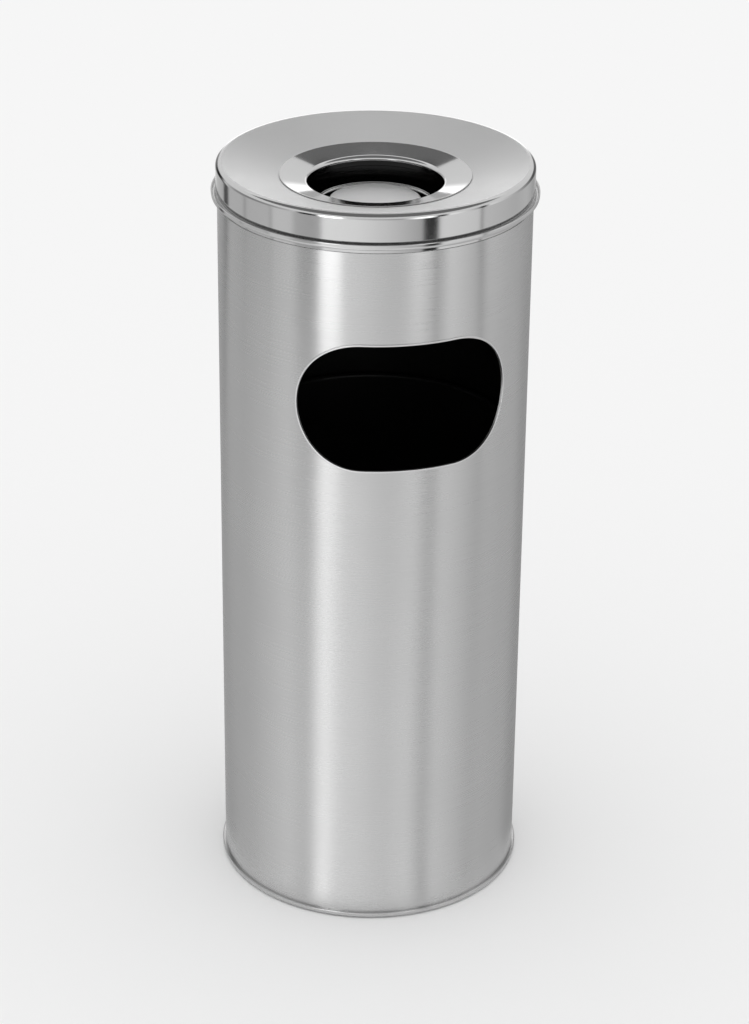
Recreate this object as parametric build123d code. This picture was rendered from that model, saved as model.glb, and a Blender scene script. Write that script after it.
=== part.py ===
from build123d import *
from math import acos, asin, cos, degrees, pi, radians, sin, sqrt, tan
import os

os.makedirs("parts", exist_ok=True)

# Round stainless steel ash and litter bin, standing on the floor.
# Millimetres. +Z is up, the litter mouth faces -Y, and the origin is the middle
# of the base on the floor.

# ---- driving dimensions -------------------------------------------------------
overall_height = 620.0      # floor to the rim of the lid
body_radius = 124.0         # outside of the rolled shell
shell_sheet = 1.0

mouth_width = 178.0         # clear opening, measured along the curved sheet
mouth_height = 104.0
mouth_drop = 158.0          # lid rim down to the middle of the mouth
edging_sheet = 0.6          # folded steel edging round the mouth
edging_outer_lip = 1.0
edging_inner_lip = 2.0

lid_sheet = 1.0
lid_height = 27.4           # lid rim down to the underside of its curled edge
lid_corner = 3.0            # outside radius of the lid's top corner
lid_slope = 15.0            # degrees, fall of the lid's dish towards its opening
lid_opening_radius = 70.0
lid_opening_lip = 4.5       # turned down edge of the opening
lid_opening_bend = 1.5
curl_radius = 2.35          # outside radius of the curled skirt edge
curl_lip = 2.35             # height of the upright end of the curl

band_height = 3.6           # bare part of the collar under the lid's curled edge
collar_sheet = 1.0
collar_spigot = 16.0        # how far the collar reaches down inside the shell
seal_thickness = 1.5
seal_leg = 6.0

base_sheet = 1.0
base_floor_z = 10.0         # top face of the base plate
base_seam_height = 4.0
base_seam_bulge = 2.5       # how far the base seam stands out from the shell
foot_drop = 1.2             # how far the rubber feet stand below the base seam
foot_radius = 12.0
foot_recess_radius = 5.6
foot_recess_depth = 4.2
foot_inset = 28.0           # middle of a foot in from the shell's inner face
foot_count = 4
foot_angle = 45.0           # degrees, direction of the first foot
foot_screw_radius = 2.5
foot_head_radius = 4.75
foot_head_height = 3.0
foot_nut_flats = 8.0
foot_nut_height = 4.0
washer_height = 1.0
screw_tip = 1.0             # how far a foot's screw stands out of its nut

liner_sheet = 0.8
liner_rim_drop = 18.0       # liner's rim below the lower edge of the mouth
liner_seam_height = 5.0
liner_seam_bulge = 1.4
liner_roll_radius = 2.3     # outside radius of the rolled rim
rim_wire_radius = 1.45

bail_wire_radius = 2.25
bail_inner_bend = 1.25      # inside radius where each end turns into its ear
bail_head_lip = 1.2         # how far the head on each end stands out from the wire
bail_pivot_drop = 14.0      # pivot below the liner's rim
grip_radius = 4.2
grip_half_angle = 20.0      # degrees of the bail's arc, each way from its middle
ear_sheet = 1.2
ear_rise = 2.6              # clear height of the ear's bridge over the wall
ear_height = 14.0
ear_bridge_angle = 4.2      # degrees, half of the bridge
ear_foot_angle = 10.0       # degrees, outer end of each riveted foot
rivet_radius = 1.6
rivet_head_radius = 3.2
rivet_head_height = 1.2

flange_overlap = 5.5        # ash bowl's flange beyond the lid's opening
flange_slope = 12.6         # degrees
ash_sheet = 0.8
ash_hole_radius = 53.0
ash_hole_round = 3.5        # radius that turns the flange down into the hole
ash_hole_lip = 4.0
pan_depth = 60.0            # lid rim down to the underside of the ash pan
pan_flange = 3.0            # width of the flange that is welded under the ring
pan_taper = 4.0             # how much narrower the pan is at its floor
pan_corner = 10.0
plate_depth = 32.3          # lid rim down to the top of the stub plate
plate_sheet = 1.0
plate_disc_radius = 36.9
plate_step = 3.8
plate_lip = 1.4
plate_gap = 5.6             # between the stub plate and the edge of the hole, seen from above
spacer_radius = 7.0
ash_screw_radius = 3.0
ash_nut_flats = 10.0
ash_nut_height = 5.0
ash_head_height = 4.0
pan_washer_radius = 7.5

# ---- clearances ---------------------------------------------------------------
lid_fit = 0.5               # radial, lid skirt over the collar's neck
lid_rest = 1.1              # the seal below the underside of the lid's rim
rest_gap = 0.3              # between pieces of different bodies that rest on each other
pan_fit = 1.0               # radial, ash pan through the lid's opening
passage_fit = 0.8           # radial, bail grip out through the neck
bail_over_rim = 1.08        # radial, bail over the liner's rolled rim
floor_gap = 3.0             # liner's floor over the screws of the feet
sheet_fit = 0.05            # radial, sheets pushed one inside the other
pin_fit = 0.08              # radial, bail end in its ear
screw_fit = 0.1             # radial, screw in its hole
weld_gap = 0.02             # between curved faces that are welded together

# ---- sizes that follow --------------------------------------------------------
seam_bottom_z = foot_drop
shell_bottom_z = seam_bottom_z + base_sheet
shell_inner_radius = body_radius - shell_sheet
shell_mid_radius = body_radius - shell_sheet / 2
mouth_centre_z = overall_height - mouth_drop
curl_bottom_z = overall_height - lid_height
shell_top_z = curl_bottom_z - band_height
skirt_radius = body_radius + lid_sheet
skirt_inner_radius = skirt_radius - lid_sheet
neck_radius = skirt_inner_radius - lid_fit
seal_top_z = overall_height - lid_sheet - lid_rest
neck_top_z = seal_top_z - seal_thickness
passage_radius = neck_radius - collar_sheet - seal_thickness

foot_circle_radius = shell_inner_radius - foot_inset
foot_screw_tip_z = base_floor_z + washer_height + foot_nut_height + screw_tip
liner_floor_z = foot_screw_tip_z + floor_gap
liner_bottom_z = base_floor_z + rest_gap
liner_rim_z = mouth_centre_z - mouth_height / 2 - liner_rim_drop
pivot_z = liner_rim_z - bail_pivot_drop
bail_arc_radius = passage_radius - grip_radius - passage_fit
bail_bend_radius = bail_wire_radius + bail_inner_bend
bail_clear_radius = sqrt((bail_arc_radius - bail_wire_radius) ** 2 - bail_pivot_drop ** 2)
liner_inner_radius = bail_clear_radius - bail_over_rim - 2 * liner_roll_radius
liner_radius = liner_inner_radius + liner_sheet
rest_tilt = degrees(acos((liner_radius + grip_radius + rest_gap) / bail_arc_radius))

flange_radius = lid_opening_radius + flange_overlap
pan_flange_radius = lid_opening_radius - pan_fit
pan_radius = pan_flange_radius - pan_flange
pan_floor_radius = pan_radius - pan_taper
pan_floor_z = overall_height - pan_depth
pan_top_z = pan_floor_z + ash_sheet
plate_top_z = overall_height - plate_depth
plate_under_z = plate_top_z - plate_sheet
plate_radius = ash_hole_radius - plate_gap - plate_sheet


# ---- shapes used more than once -----------------------------------------------
def turned(points, rounds=()):
    """Solid of revolution from a closed outline of (radius, height) points.

    rounds lists (point, radius) for the corners that are rounded."""
    face = make_face(Polyline(*points, close=True))
    for corner, radius in rounds:
        vertex = face.vertices().sort_by_distance((corner[0], corner[1], 0))[0]
        face = fillet(vertex, radius)
    return revolve(Plane.XZ * face, axis=Axis.Z)


def ring(inner_radius, outer_radius, bottom_z, top_z):
    """Plain ring or disc with a rectangular section."""
    return turned([(inner_radius, bottom_z), (outer_radius, bottom_z),
                   (outer_radius, top_z), (inner_radius, top_z)])


def pressing(path, sheet, side, end_round=None):
    """Sheet metal turned about Z: a path that follows one face, and the sheet on
    the given side of it. end_round is a radius for the corners of the path's end."""
    outline = offset(Wire(path), amount=sheet, side=side)
    face = make_face(outline.edges())
    if end_round:
        corners = face.vertices().sort_by_distance(path[-1] @ 1)[:2]
        face = fillet(corners, end_round)
    return revolve(Plane.XZ * face, axis=Axis.Z)


def sector(inner_radius, outer_radius, bottom_z, top_z, from_angle, to_angle):
    """Part of a ring between two angles, in degrees from +X."""
    section = make_face(Polyline((inner_radius, bottom_z), (outer_radius, bottom_z),
                                 (outer_radius, top_z), (inner_radius, top_z), close=True))
    turn = revolve(Plane.XZ * section, axis=Axis.Z, revolution_arc=to_angle - from_angle)
    return Rot(0, 0, from_angle) * turn


def upright(radius, bottom_z, top_z):
    """Cylinder about the Z axis."""
    return Pos(0, 0, bottom_z) * extrude(Circle(radius), top_z - bottom_z)


def across(radius, from_x, to_x, z):
    """Cylinder along X at height z."""
    return Plane((from_x, 0, z), x_dir=(0, 1, 0), z_dir=(1, 0, 0)) * extrude(Circle(radius), to_x - from_x)


def hex_nut(across_flats, bore_radius, bottom_z, top_z):
    blank = RegularPolygon(across_flats / 2, 6, major_radius=False) - Circle(bore_radius)
    return Pos(0, 0, bottom_z) * extrude(blank, top_z - bottom_z)


def on_circle(shape, radius, count, first_angle=0.0):
    """Copies of a shape that is built on the Z axis, spread round a circle."""
    step = 360.0 / count
    return [Rot(0, 0, first_angle + step * i) * Pos(radius, 0, 0) * shape for i in range(count)]


def both_sides(shape):
    """A shape on the +X side and its twin on the -X side."""
    return [shape, Rot(0, 0, 180) * shape]


def seamed_floor(wall_inner_radius, wall_radius, sheet, bottom_z, floor_z, seam_height, bulge):
    """Round floor plate whose flange is folded round the lower edge of a wall."""
    inner = wall_inner_radius - sheet_fit
    hook = wall_radius + sheet_fit
    rim = wall_radius + bulge
    groove_z = bottom_z + sheet
    top_z = bottom_z + seam_height
    points = [(0, floor_z), (inner, floor_z), (inner, groove_z), (hook, groove_z), (hook, top_z),
              (rim, top_z), (rim, bottom_z), (inner - sheet, bottom_z),
              (inner - sheet, floor_z - sheet), (0, floor_z - sheet)]
    fold = 0.4 * (rim - hook)
    rounds = [((rim, top_z), fold), ((rim, bottom_z), fold), ((inner, floor_z), sheet)]
    return turned(points, rounds)


def write(node, *pieces):
    """Write one node: a single solid, or a group of separate solids."""
    solids = [solid for piece in pieces for solid in piece.solids()]
    shape = solids[0] if len(solids) == 1 else Compound(children=solids)
    shape.label = node
    export_step(shape, f"parts/{node}.step")


# ---- the litter mouth ---------------------------------------------------------
def mouth_outline(grow, depth):
    """Outline of the mouth on the plane y = -depth, made so that the lines from
    the Z axis through it meet the shell in a straight-sided slot with round ends,
    as it is punched in the flat sheet. grow moves the outline outwards."""
    straight = (mouth_width - mouth_height) / 2
    end_radius = mouth_height / 2 + grow
    steps = 24
    right = []
    for i in range(steps + 1):
        angle = pi / 2 - pi * i / steps
        along = straight + end_radius * cos(angle)
        right.append((depth * tan(along / shell_mid_radius), mouth_centre_z + end_radius * sin(angle)))
    left = [(-x, z) for x, z in reversed(right)]
    right_end = Spline(right, tangents=[(1, 0), (-1, 0)])
    left_end = Spline(left, tangents=[(-1, 0), (1, 0)])
    face = make_face([right_end, left_end, Line(left[-1], right[0]), Line(right[-1], left[0])])
    return Plane((0, -depth, 0), x_dir=(1, 0, 0), z_dir=(0, -1, 0)) * face


def mouth_cutter(grow):
    """Everything outside the Z axis that lies within the mouth's outline."""
    near = mouth_outline(grow, body_radius / 2)
    far = mouth_outline(grow, body_radius * 1.2)
    return loft([near, far], ruled=True)


def aperture_edging():
    """Folded edging: a throat lining the cut edge, with a lip on each face."""
    inner_face = shell_inner_radius - edging_sheet
    outer_face = body_radius + edging_sheet
    clear = mouth_cutter(0)
    cut_edge = mouth_cutter(edging_sheet)
    throat = (ring(inner_face, outer_face, shell_bottom_z, shell_top_z) & cut_edge) - clear
    outer_lip = ring(body_radius, outer_face, shell_bottom_z, shell_top_z)
    outer_lip = (outer_lip & mouth_cutter(edging_sheet + edging_outer_lip)) - clear
    inner_lip = ring(inner_face, shell_inner_radius, shell_bottom_z, shell_top_z)
    inner_lip = (inner_lip & mouth_cutter(edging_sheet + edging_inner_lip)) - clear
    return throat + outer_lip + inner_lip


# ---- bin body -----------------------------------------------------------------
foot_hole = upright(foot_screw_radius + screw_fit, -1, base_floor_z + 1)
foot_head_top_z = foot_recess_depth
foot_head_bottom_z = foot_head_top_z - foot_head_height


def body_shell():
    tube = ring(shell_inner_radius, body_radius, shell_bottom_z, shell_top_z)
    return tube - mouth_cutter(edging_sheet)


def top_collar():
    """Neck that the lid drops over, with a spigot inside the shell's top edge."""
    spigot = shell_inner_radius - sheet_fit
    inner = spigot - collar_sheet
    neck_inner = neck_radius - collar_sheet
    joggle_top = shell_top_z + collar_sheet
    points = [(inner, shell_top_z - collar_spigot), (spigot, shell_top_z - collar_spigot),
              (spigot, shell_top_z), (neck_radius, shell_top_z), (neck_radius, neck_top_z),
              (neck_inner, neck_top_z), (neck_inner, joggle_top), (inner, joggle_top)]
    return turned(points)


def rim_seal():
    """Rubber edging that the lid rests on, pushed on the neck's top edge."""
    leg = neck_radius - collar_sheet
    inner = leg - seal_thickness
    points = [(inner, neck_top_z - seal_leg), (leg, neck_top_z - seal_leg), (leg, neck_top_z),
              (neck_radius, neck_top_z), (neck_radius, seal_top_z), (inner, seal_top_z)]
    fold = 0.3 * seal_thickness
    return turned(points, [((inner, seal_top_z), fold), ((neck_radius, seal_top_z), fold)])


def base_pan():
    plate = seamed_floor(shell_inner_radius, body_radius, base_sheet, seam_bottom_z,
                         base_floor_z, base_seam_height, base_seam_bulge)
    for hole in on_circle(foot_hole, foot_circle_radius, foot_count, foot_angle):
        plate -= hole
    return plate


def rubber_foot():
    """Foot with a recess for the screw's head, standing against the base plate."""
    top_z = base_floor_z - base_sheet
    foot = turned([(0, 0), (foot_radius, 0), (foot_radius, top_z), (0, top_z)], [((foot_radius, 0), 1.0)])
    return foot - foot_hole - upright(foot_recess_radius, -1, foot_recess_depth)


def foot_screw():
    """Pan head screw from below, through the foot and the base plate."""
    crown = (foot_head_radius, foot_head_bottom_z)
    points = [(0, foot_head_bottom_z), crown, (foot_head_radius, foot_head_top_z), (0, foot_head_top_z)]
    head = turned(points, [(crown, foot_head_height / 2)])
    slot = Pos(0, 0, foot_head_bottom_z) * Box(1.2, 2 * foot_head_radius, 0.8 * foot_head_height)
    return head + upright(foot_screw_radius, foot_head_top_z, foot_screw_tip_z) - slot


def foot_washer():
    return ring(foot_screw_radius + screw_fit, 5.0, base_floor_z, base_floor_z + washer_height)


def foot_nut():
    bottom_z = base_floor_z + washer_height
    return hex_nut(foot_nut_flats, foot_screw_radius, bottom_z, bottom_z + foot_nut_height)


# ---- liner and its bail -------------------------------------------------------
rivet_angle = (ear_bridge_angle + ear_foot_angle) / 2
rivet_hole_reach = (liner_inner_radius - 2 * rivet_head_height, liner_radius + 2 * rivet_head_height)


def rivet_pair(shape):
    """A shape that is built along +X at the pivot's height, at both feet of an ear."""
    return [Pos(0, 0, pivot_z) * Rot(0, 0, angle) * Pos(0, 0, -pivot_z) * shape
            for angle in (-rivet_angle, rivet_angle)]


def liner_wall():
    """Rolled wall whose top edge is curled outwards round the rim wire."""
    roll_z = liner_rim_z - liner_roll_radius
    roll_centre = (liner_inner_radius + liner_roll_radius, roll_z)
    wall_line = Line((liner_inner_radius, liner_bottom_z + liner_sheet), (liner_inner_radius, roll_z))
    roll = CenterArc(roll_centre, liner_roll_radius, 180, -265)
    wall = pressing([wall_line, roll], liner_sheet, Side.RIGHT)
    hole = across(rivet_radius, *rivet_hole_reach, pivot_z)
    for side in both_sides(Compound(children=rivet_pair(hole))):
        wall -= side
    return wall


def rim_wire():
    """Wire ring inside the liner's rolled rim."""
    centre = (liner_inner_radius + liner_roll_radius, liner_rim_z - liner_roll_radius)
    section = Pos(*centre) * Circle(rim_wire_radius)
    return revolve(Plane.XZ * section, axis=Axis.Z)


def liner_floor():
    return seamed_floor(liner_inner_radius, liner_radius, liner_sheet, liner_bottom_z,
                        liner_floor_z, liner_seam_height, liner_seam_bulge)


def liner_ear():
    """Strap with two riveted feet and a bridge between them that holds a bail end."""
    bottom_z = pivot_z - ear_height / 2
    top_z = pivot_z + ear_height / 2
    bridge_radius = liner_radius + ear_rise
    web_angle = degrees(ear_sheet / liner_radius)
    outer_radius = bridge_radius + ear_sheet
    ear = sector(bridge_radius, outer_radius, bottom_z, top_z, -ear_bridge_angle, ear_bridge_angle)
    for way in (-1, 1):
        inner_angle = way * (ear_bridge_angle - web_angle)
        web = sorted([inner_angle, way * ear_bridge_angle])
        foot = sorted([inner_angle, way * ear_foot_angle])
        ear += sector(liner_radius, outer_radius, bottom_z, top_z, *web)
        ear += sector(liner_radius, liner_radius + ear_sheet, bottom_z, top_z, *foot)
    ear -= across(bail_wire_radius + pin_fit, liner_radius + ear_rise / 2, 2 * outer_radius, pivot_z)
    for hole in rivet_pair(across(rivet_radius, *rivet_hole_reach, pivot_z)):
        ear -= hole
    return ear


def ear_rivet():
    """Rivet through the liner's wall and a foot of an ear, built along +X."""
    outer_face = liner_radius + ear_sheet
    inner_face = liner_inner_radius - sheet_fit
    rivet = across(rivet_radius, inner_face, outer_face, pivot_z)
    rivet += across(rivet_head_radius, outer_face, outer_face + rivet_head_height, pivot_z)
    rivet += across(rivet_head_radius, inner_face - rivet_head_height, inner_face, pivot_z)
    return rivet


def at_rest(shape):
    """From the bail's own flat plane to its place, lying against the liner's back."""
    return Pos(0, 0, pivot_z) * Rot(-rest_tilt, 0, 0) * shape


def bail_wire():
    """Round wire: a half ring with its two ends bent in through the ears."""
    bend_centre_x = sqrt((bail_arc_radius - bail_bend_radius) ** 2 - bail_bend_radius ** 2)
    bend_end = degrees(asin(bail_bend_radius / (bail_arc_radius - bail_bend_radius)))
    head_from = liner_radius + ear_rise / 3
    head_to = liner_radius + ear_rise - rest_gap
    end = Line((head_from, 0), (bend_centre_x, 0))
    bend = CenterArc((bend_centre_x, bail_bend_radius), bail_bend_radius, -90, 90 + bend_end)
    half_way = 90 - bend_end
    arc = CenterArc((0, 0), bail_arc_radius, bend_end, half_way)
    path = Wire([end, bend, arc])
    start = Plane((head_from, 0, 0), x_dir=(0, 1, 0), z_dir=(1, 0, 0))
    half = sweep(start * Circle(bail_wire_radius), path=path)
    half += start * extrude(Circle(bail_wire_radius + bail_head_lip), head_to - head_from)
    return at_rest(half + mirror(half, about=Plane.YZ))


def bail_grip():
    """Plastic tube on the middle of the bail."""
    section = Pos(bail_arc_radius, 0) * (Circle(grip_radius) - Circle(bail_wire_radius + sheet_fit))
    tube = revolve(Plane.XZ * section, axis=Axis.Z, revolution_arc=2 * grip_half_angle)
    return at_rest(Rot(0, 0, 90 - grip_half_angle) * tube)


# ---- lid ----------------------------------------------------------------------
corner_centre = (skirt_radius - lid_corner, overall_height - lid_corner)
corner_inner = lid_corner - lid_sheet
dish_start = (corner_centre[0] - corner_inner * sin(radians(lid_slope)),
              corner_centre[1] + corner_inner * cos(radians(lid_slope)))


def dish_under_z(radius):
    """Height of the underside of the lid's dish."""
    return dish_start[1] - (dish_start[0] - radius) * tan(radians(lid_slope))


def dish_top_z(radius):
    return dish_under_z(radius) + lid_sheet / cos(radians(lid_slope))


def lid_cover():
    """Deep drawn lid: a dish that falls to an opening, a skirt, and its edge
    curled outwards and upwards into a finger rim."""
    opening = lid_opening_radius + lid_sheet
    lip_z = dish_under_z(opening) - lid_opening_lip
    dish = FilletPolyline((opening, lip_z), (opening, dish_under_z(opening)), dish_start,
                          radius=lid_opening_bend)
    corner = CenterArc(corner_centre, corner_inner, 90 + lid_slope, -(90 + lid_slope))
    curl_z = curl_bottom_z + curl_radius
    skirt = Line((skirt_inner_radius, corner_centre[1]), (skirt_inner_radius, curl_z))
    curl = CenterArc((skirt_inner_radius + curl_radius, curl_z), curl_radius, 180, 180)
    edge = skirt_inner_radius + 2 * curl_radius
    lip = Line((edge, curl_z), (edge, curl_z + curl_lip))
    return pressing([*dish.edges(), corner, skirt, curl, lip], lid_sheet, Side.LEFT, 0.45 * lid_sheet)


# ---- ash bowl -----------------------------------------------------------------
flange_under = dish_top_z(flange_radius) + rest_gap
ash_screw_hole = upright(ash_screw_radius + screw_fit, pan_floor_z - 5, pan_top_z + 5)


def flange_under_z(radius):
    """Height of the underside of the ash bowl's flange."""
    return flange_under - (flange_radius - radius) * tan(radians(flange_slope))


def bowl_ring():
    """Flange ring of the ash bowl, turned down into the hole."""
    hole = ash_hole_radius + ash_sheet
    bottom_z = flange_under_z(hole) - ash_hole_round - ash_hole_lip + ash_sheet
    path = FilletPolyline((flange_radius, flange_under), (hole, flange_under_z(hole)), (hole, bottom_z),
                          radius=ash_hole_round - ash_sheet)
    return pressing(list(path.edges()), ash_sheet, Side.RIGHT)


def bowl_pan():
    """Drawn pan welded under the flange ring."""
    step = ash_sheet / cos(radians(flange_slope)) + weld_gap
    path = FilletPolyline((pan_flange_radius, flange_under_z(pan_flange_radius) - step),
                          (pan_radius, flange_under_z(pan_radius) - step),
                          (pan_floor_radius, pan_floor_z), (0, pan_floor_z), radius=[1.2, pan_corner])
    return pressing(list(path.edges()), ash_sheet, Side.RIGHT) - ash_screw_hole


def stub_plate():
    """Plate for stubbing out: a raised disc in a shallow tray with a turned up edge."""
    tray_z = plate_top_z - plate_step
    path = FilletPolyline((0, plate_top_z), (plate_disc_radius, plate_top_z), (plate_disc_radius, tray_z),
                          (plate_radius, tray_z), (plate_radius, tray_z + plate_lip), radius=[1.6, 1.0, 0.6])
    return pressing(list(path.edges()), plate_sheet, Side.RIGHT)


def plate_spacer():
    return ring(ash_screw_radius + screw_fit, spacer_radius, pan_top_z, plate_under_z - ash_nut_height)


def plate_nut():
    """Nut welded under the stub plate."""
    return hex_nut(ash_nut_flats, ash_screw_radius, plate_under_z - ash_nut_height, plate_under_z)


def pan_washer():
    return ring(ash_screw_radius + screw_fit, pan_washer_radius, pan_floor_z - washer_height, pan_floor_z)


def plate_screw():
    """Hexagon head screw from below the pan into the welded nut."""
    head_top_z = pan_floor_z - washer_height
    hexagon = RegularPolygon(ash_nut_flats / 2, 6, major_radius=False)
    head = Pos(0, 0, head_top_z - ash_head_height) * extrude(hexagon, ash_head_height)
    return head + upright(ash_screw_radius, head_top_z, plate_under_z - 0.6)


# ---- write every node ---------------------------------------------------------
write("body_shell", body_shell())
write("aperture_edging", aperture_edging())
write("top_collar", top_collar())
write("rim_seal", rim_seal())
write("base_pan", base_pan())
write("rubber_feet", *on_circle(rubber_foot(), foot_circle_radius, foot_count, foot_angle))
write("foot_screws", *on_circle(foot_screw(), foot_circle_radius, foot_count, foot_angle))
write("foot_washers", *on_circle(foot_washer(), foot_circle_radius, foot_count, foot_angle))
write("foot_nuts", *on_circle(foot_nut(), foot_circle_radius, foot_count, foot_angle))

write("liner_wall", liner_wall())
write("liner_rim_wire", rim_wire())
write("liner_floor", liner_floor())
write("liner_ears", *both_sides(liner_ear()))
write("ear_rivets", *both_sides(Compound(children=rivet_pair(ear_rivet()))))

write("bail_wire", bail_wire())
write("bail_grip", bail_grip())

write("lid_cover", lid_cover())

write("bowl_ring", bowl_ring())
write("bowl_pan", bowl_pan())
write("stub_plate", stub_plate())
write("plate_spacer", plate_spacer())
write("plate_nut", plate_nut())
write("pan_washer", pan_washer())
write("plate_screw", plate_screw())

print(f"bail rest tilt {rest_tilt:.2f} degrees, full swing {180 + 2 * rest_tilt:.2f} degrees")
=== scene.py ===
from math import acos, asin, ceil, cos, degrees, hypot, pi, radians, sin, sqrt, tan

import bmesh
import bpy
from mathutils import Matrix, Vector


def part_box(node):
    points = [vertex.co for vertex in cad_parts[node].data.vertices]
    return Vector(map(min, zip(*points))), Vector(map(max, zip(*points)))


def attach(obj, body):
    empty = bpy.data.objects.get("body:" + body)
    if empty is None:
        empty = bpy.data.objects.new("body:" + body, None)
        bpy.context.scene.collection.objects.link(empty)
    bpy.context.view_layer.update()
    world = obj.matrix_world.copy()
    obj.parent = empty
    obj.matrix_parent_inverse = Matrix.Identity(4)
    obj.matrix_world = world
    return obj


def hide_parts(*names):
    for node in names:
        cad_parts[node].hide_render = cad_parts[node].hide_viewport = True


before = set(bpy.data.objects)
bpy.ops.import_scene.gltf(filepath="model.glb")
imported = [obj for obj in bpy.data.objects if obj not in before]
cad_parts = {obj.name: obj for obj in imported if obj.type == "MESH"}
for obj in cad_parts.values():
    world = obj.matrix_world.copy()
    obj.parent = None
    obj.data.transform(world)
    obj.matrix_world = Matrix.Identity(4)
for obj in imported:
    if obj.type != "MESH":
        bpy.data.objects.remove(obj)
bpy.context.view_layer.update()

# Ash and litter bin in stainless steel. Shapes are worked out in millimetres from the
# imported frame, and turned to metres when a mesh is made.
MM = 0.001
ROUND_STEPS = 256           # facets round the big turned sheets
ON_AXIS = 1e-6              # a smaller radius is a point on the axis
WELD = 1e-6                 # points nearer than this, in metres, become one

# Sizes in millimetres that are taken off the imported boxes.
EDGING_LIP = 2.6            # width of the edging's inner lip
LINER_SEAM = 1.4            # what the liner's folded seam stands out of its wall
FOOT_RADIUS = 12.0


# ---- places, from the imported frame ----
def low(node):
    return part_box(node)[0] / MM


def high(node):
    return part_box(node)[1] / MM


rim_z = high("lid_cover").z                 # top of the lid
curl_z = low("lid_cover").z                 # underside of the lid's curled edge
curl_reach = high("lid_cover").x            # outside of the curled edge
shell_radius = high("body_shell").x
shell_low, shell_top = low("body_shell").z, high("body_shell").z
mouth_high = high("aperture_edging").z - EDGING_LIP
mouth_low = low("aperture_edging").z + EDGING_LIP
neck_radius = high("top_collar").x
collar_low, neck_top = low("top_collar").z, high("top_collar").z
seal_top, seal_low = high("rim_seal").z, low("rim_seal").z
seam_radius, seam_low = high("base_pan").x, low("base_pan").z
base_top = high("base_pan").z
liner_radius = high("liner_floor").x - LINER_SEAM
liner_low, liner_rim = low("liner_floor").z, high("liner_wall").z
liner_floor_top = high("liner_floor").z
ring_radius, ring_low = high("bowl_ring").x, low("bowl_ring").z
pan_low, pan_reach = low("bowl_pan").z, high("bowl_pan").x
plate_top, plate_radius = high("stub_plate").z, high("stub_plate").x
pivot_z = (low("liner_ears").z + high("liner_ears").z) / 2
foot_circle = (high("rubber_feet").x - FOOT_RADIUS) * sqrt(2)


def placed(name, data):
    """Object for a mesh, a curve or a camera, in the scene."""
    made = bpy.data.objects.new(name, data)
    bpy.context.scene.collection.objects.link(made)
    return made


# ---- camera, in metres and radians ----
EYE_DISTANCE, EYE_HEIGHT, EYE_AZIMUTH = 2.1719, 1.3744, radians(-12.9)
EYE_PITCH, EYE_YAW, EYE_ROLL = 0.4539, 0.0009, 0.0108
EYE_LENS, EYE_SENSOR = 103.15, 36.0

camera = placed("camera", bpy.data.cameras.new("camera"))
camera.data.lens, camera.data.sensor_width = EYE_LENS, EYE_SENSOR
camera.location = (EYE_DISTANCE * sin(EYE_AZIMUTH), -EYE_DISTANCE * cos(EYE_AZIMUTH), EYE_HEIGHT)
camera.rotation_euler = (Matrix.Rotation(EYE_AZIMUTH - EYE_YAW, 3, "Z")
                         @ Matrix.Rotation(pi / 2 - EYE_PITCH, 3, "X")
                         @ Matrix.Rotation(EYE_ROLL, 3, "Z")).to_euler()
bpy.context.scene.camera = camera


# ---- node building ----
def linear(code):
    """sRGB hex colour as linear RGBA."""
    channels = [int(code[i:i + 2], 16) / 255 for i in (0, 2, 4)]
    return tuple(c / 12.92 if c <= 0.04045 else ((c + 0.055) / 1.055) ** 2.4 for c in channels) + (1.0,)


def add(tree, kind, settings=None, **inputs):
    """Adds a node with its settings. An input is named with _ for a space, or i0, i1
    by number; a node or a socket is linked to it, and anything else is its value."""
    made = tree.nodes.new(kind)
    for key, value in (settings or {}).items():
        setattr(made, key, value)
    for key, value in inputs.items():
        socket = made.inputs[int(key[1:])] if key[1:].isdigit() else made.inputs[key.replace("_", " ")]
        if isinstance(value, bpy.types.Node):
            value = value.outputs[0]
        if isinstance(value, bpy.types.NodeSocket):
            tree.links.new(value, socket)
        else:
            socket.default_value = value
    return made


def calc(tree, operation, *values):
    """Maths on up to three values."""
    return add(tree, "ShaderNodeMath", {"operation": operation}, **{f"i{n}": v for n, v in enumerate(values)})


def mix(tree, share, one, two):
    return add(tree, "ShaderNodeMix", {"data_type": "FLOAT"}, i0=share, i2=one, i3=two)


def fade(tree, value, start, end, first=0.0, last=1.0):
    """Smooth step from the first level to the last."""
    return add(tree, "ShaderNodeMapRange", {"interpolation_type": "SMOOTHSTEP"}, Value=value, From_Min=start,
               From_Max=end, To_Min=first, To_Max=last)


def vary(tree, noise, middle, spread):
    """Noise turned to values round a middle one."""
    return add(tree, "ShaderNodeMapRange", Value=noise, From_Min=0.3, From_Max=0.7,
               To_Min=middle - spread, To_Max=middle + spread)


def ramp(tree, factor, stops):
    """Brightness ramp from (place 0 to 1, brightness) stops."""
    made = add(tree, "ShaderNodeValToRGB", Fac=factor)
    band = made.color_ramp
    while len(band.elements) < len(stops):
        band.elements.new(0.5)
    for element, (place, level) in zip(band.elements, stops):
        element.position = place
        element.color = (level, level, level, 1.0)
    return made


def place_parts(tree):
    """Sockets for the X, Y and Z of a point in its object."""
    place = add(tree, "ShaderNodeTexCoord").outputs["Object"]
    return add(tree, "ShaderNodeSeparateXYZ", Vector=place).outputs


def new_material(name):
    material = bpy.data.materials.new(name)
    material.use_nodes = True
    material.node_tree.nodes.clear()
    return material, material.node_tree


BANDS = 4.3                 # the slow bands in a finish are this many times its marks


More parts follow.
